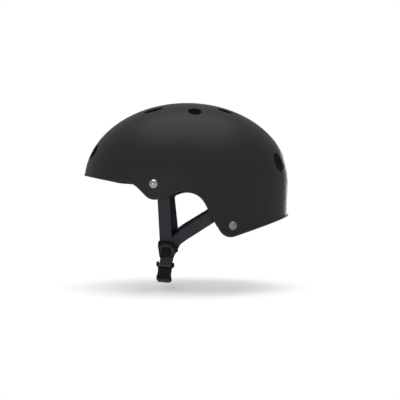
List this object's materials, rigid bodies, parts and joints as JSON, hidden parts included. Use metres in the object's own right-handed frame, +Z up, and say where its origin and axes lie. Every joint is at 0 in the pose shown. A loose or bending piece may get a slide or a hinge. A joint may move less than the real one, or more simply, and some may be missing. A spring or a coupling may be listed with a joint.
{
  "type": "scooter helmet",
  "caption": "Hard-shell open-face scooter helmet with oval vents, foam liner, comfort pads, riveted webbing straps and a side-release chin buckle.",
  "frame": {"origin": "middle of the head opening, level with the front rim", "axes": "+Z up, -X towards the front, -Y towards the wearer's left"},
  "size_m": [0.273, 0.2126, 0.2393],
  "materials": {
    "shell": "matt, fine texture",
    "trim": "satin",
    "foam": "matt bead foam",
    "padding": "knitted mesh",
    "patches": "hook and loop",
    "rivet": "polished",
    "washer": "plain",
    "hangers": "moulded",
    "webbing": "woven",
    "fittings": "moulded",
    "pin": "plain",
    "buckle": "moulded"
  },
  "bodies": {
    "helmet": {"outer_shell": "shell", "edge_trim": "trim", "foam_liner": "foam", "brow_pad": "padding", "crown_pad": "padding", "side_pad_left": "padding", "side_pad_right": "padding", "rear_pad": "padding", "pad_patches": "patches", "rivets": "rivet", "rivet_washers": "washer", "front_hanger_left": "hangers", "front_hanger_right": "hangers", "rear_hanger_left": "hangers", "rear_hanger_right": "hangers", "front_strap_left": "webbing", "rear_strap_left": "webbing", "divider_left": "fittings", "cam_pin_left": "pin", "chin_strap_left": "webbing", "buckle_socket": "buckle"},
    "right_harness": {"front_strap_right": "webbing", "rear_strap_right": "webbing", "divider_right": "fittings", "cam_pin_right": "pin", "chin_strap_right": "webbing", "buckle_plug": "buckle"},
    "lever_left": {"cam_lever_left": "fittings"},
    "lever_right": {"cam_lever_right": "fittings"},
    "latch_front": {"latch_arm_front": "buckle"},
    "latch_rear": {"latch_arm_rear": "buckle"},
    "keeper": {"strap_keeper": "fittings"}
  },
  "joints": [
    {"name": "right_harness_swing", "type": "hinge", "parent": "helmet", "child": "right_harness", "pos_m": [-0.02742, 0.08853, -0.05415], "axis": [0.9936, 0.0496, -0.1017], "range_deg": [0, 60], "deforming": ["front_strap_right", "rear_strap_right"]},
    {"name": "cam_lever_left_lift", "type": "hinge", "parent": "helmet", "child": "lever_left", "pos_m": [-0.02502, -0.07076, -0.09346], "axis": [-0.9997, 0.0115, -0.0235], "range_deg": [0, 65]},
    {"name": "cam_lever_right_lift", "type": "hinge", "parent": "right_harness", "child": "lever_right", "pos_m": [-0.02041, 0.07396, -0.08689], "axis": [0.9945, 0.0458, 0.0939], "range_deg": [0, 65]},
    {"name": "latch_arm_front_flex", "type": "hinge", "parent": "right_harness", "child": "latch_front", "pos_m": [-0.03366, -0.04992, -0.12956], "axis": [0, 0.8988, 0.4384], "range_deg": [0, 12], "stiffness_Nm_per_rad": 0.05},
    {"name": "latch_arm_rear_flex", "type": "hinge", "parent": "right_harness", "child": "latch_rear", "pos_m": [-0.02293, -0.04938, -0.13066], "axis": [0, 0.8988, 0.4384], "range_deg": [-12, 0], "stiffness_Nm_per_rad": 0.05},
    {"name": "strap_keeper_slide", "type": "slide", "parent": "right_harness", "child": "keeper", "axis": [-0.0228, 0.9997, 0], "range_m": [-0.008, 0.004]}
  ],
  "couplings": [
    {"joint": "latch_arm_rear_flex", "follows": "latch_arm_front_flex", "ratio": -1}
  ]
}
